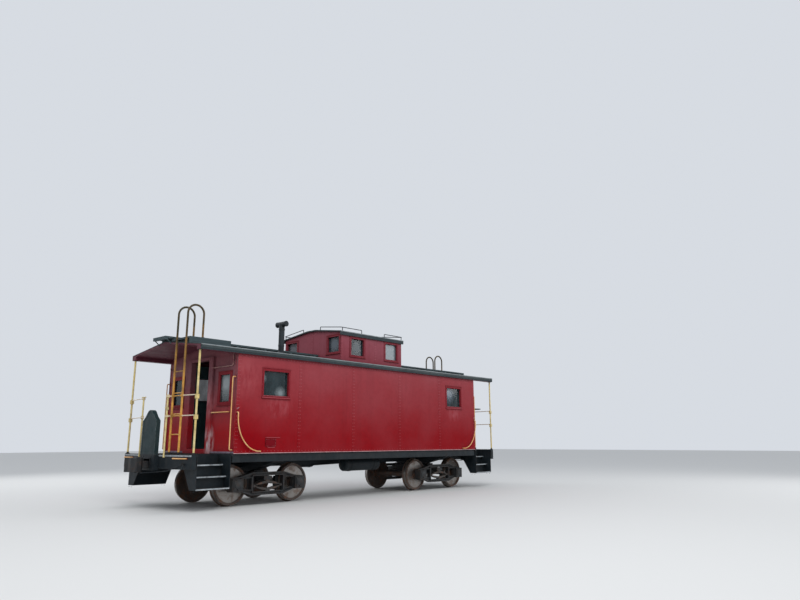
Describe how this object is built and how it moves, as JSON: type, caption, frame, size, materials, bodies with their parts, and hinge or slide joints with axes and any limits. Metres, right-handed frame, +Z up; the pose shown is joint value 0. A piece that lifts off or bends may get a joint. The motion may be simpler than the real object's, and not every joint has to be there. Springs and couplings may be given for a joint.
{
  "type": "cupola caboose",
  "caption": "Steel railway caboose with a roof cupola, open end platforms, arched end ladders, swing doors and two trucks whose wheelsets roll.",
  "frame": {"origin": "bottom centre of the bounding box, on the plane that the wheel flanges touch", "axes": "+X along the car towards end B, +Y to the left, +Z up; end A is at -X"},
  "size_m": [11.5812, 3.014, 4.342],
  "materials": {
    "body_red": "weathered gloss red paint on riveted steel sheet",
    "roof_paint": "dull dark grey-green roof paint",
    "safety_yellow": "worn yellow enamel",
    "ladder_yellow": "worn orange-yellow enamel",
    "underframe_black": "dusty black paint",
    "shield_green": "dark green-black paint",
    "roof_fittings": "sooty black paint",
    "window_glass": "dark dusty glass",
    "walk_boards": "weathered grey boards",
    "cabin_boards": "worn floor boards",
    "truck_castings": "dusty black cast steel",
    "spring_steel": "dull rusty spring steel",
    "wheel_steel": "brown rust with a dull tread"
  },
  "bodies": {
    "carbody": {"air_brake_tanks": "underframe_black", "cabin_floor": "cabin_boards", "cabin_grab_irons": "safety_yellow", "cabin_window_frames": "body_red", "coupler_a": "underframe_black", "coupler_b": "underframe_black", "cupola_grab_irons": "roof_fittings", "cupola_roof": "roof_paint", "cupola_walls": "body_red", "cupola_window_frames": "body_red", "end_railing_a": "safety_yellow", "end_railing_b": "safety_yellow", "end_shields": "shield_green", "end_wall_a": "body_red", "end_wall_b": "body_red", "hand_brake": "underframe_black", "ladder_a": "ladder_yellow", "ladder_b": "ladder_yellow", "left_side_wall": "body_red", "main_roof": "roof_paint", "platform_a": "underframe_black", "platform_b": "underframe_black", "right_side_wall": "body_red", "roof_walk": "walk_boards", "smoke_jack": "roof_fittings", "steps_a": "underframe_black", "steps_b": "underframe_black", "uncoupling_rods": "underframe_black", "underframe": "underframe_black", "window_glass": "window_glass"},
    "door_leaf_a": {"door_a": "body_red", "door_glass_a": "window_glass"},
    "door_leaf_b": {"door_b": "body_red", "door_glass_b": "window_glass"},
    "truck_a": {"truck_a_side_frames": "truck_castings", "truck_a_bolster": "truck_castings", "truck_a_springs": "spring_steel"},
    "truck_b": {"truck_b_side_frames": "truck_castings", "truck_b_bolster": "truck_castings", "truck_b_springs": "spring_steel"},
    "axle_a1": {"wheelset_a1": "wheel_steel"},
    "axle_a2": {"wheelset_a2": "wheel_steel"},
    "axle_b1": {"wheelset_b1": "wheel_steel"},
    "axle_b2": {"wheelset_b2": "wheel_steel"}
  },
  "joints": [
    {"name": "door_a_swing", "type": "hinge", "parent": "carbody", "child": "door_leaf_a", "pos_m": [-4.181, -0.376, 2.178], "axis": [0, 0, 1], "range_deg": [0, 90]},
    {"name": "door_b_swing", "type": "hinge", "parent": "carbody", "child": "door_leaf_b", "pos_m": [4.181, 0.376, 2.178], "axis": [0, 0, -1], "range_deg": [0, 90]},
    {"name": "truck_a_swivel", "type": "hinge", "parent": "carbody", "child": "truck_a", "pos_m": [-3.05, 0, 0.69], "axis": [0, 0, 1], "range_deg": [-4, 4]},
    {"name": "truck_b_swivel", "type": "hinge", "parent": "carbody", "child": "truck_b", "pos_m": [3.05, 0, 0.69], "axis": [0, 0, 1], "range_deg": [-4, 4]},
    {"name": "axle_a1_spin", "type": "hinge", "parent": "truck_a", "child": "axle_a1", "pos_m": [-3.888, 0, 0.444], "axis": [0, 1, 0], "continuous": true},
    {"name": "axle_a2_spin", "type": "hinge", "parent": "truck_a", "child": "axle_a2", "pos_m": [-2.212, 0, 0.444], "axis": [0, 1, 0], "continuous": true},
    {"name": "axle_b1_spin", "type": "hinge", "parent": "truck_b", "child": "axle_b1", "pos_m": [2.212, 0, 0.444], "axis": [0, 1, 0], "continuous": true},
    {"name": "axle_b2_spin", "type": "hinge", "parent": "truck_b", "child": "axle_b2", "pos_m": [3.888, 0, 0.444], "axis": [0, 1, 0], "continuous": true}
  ]
}
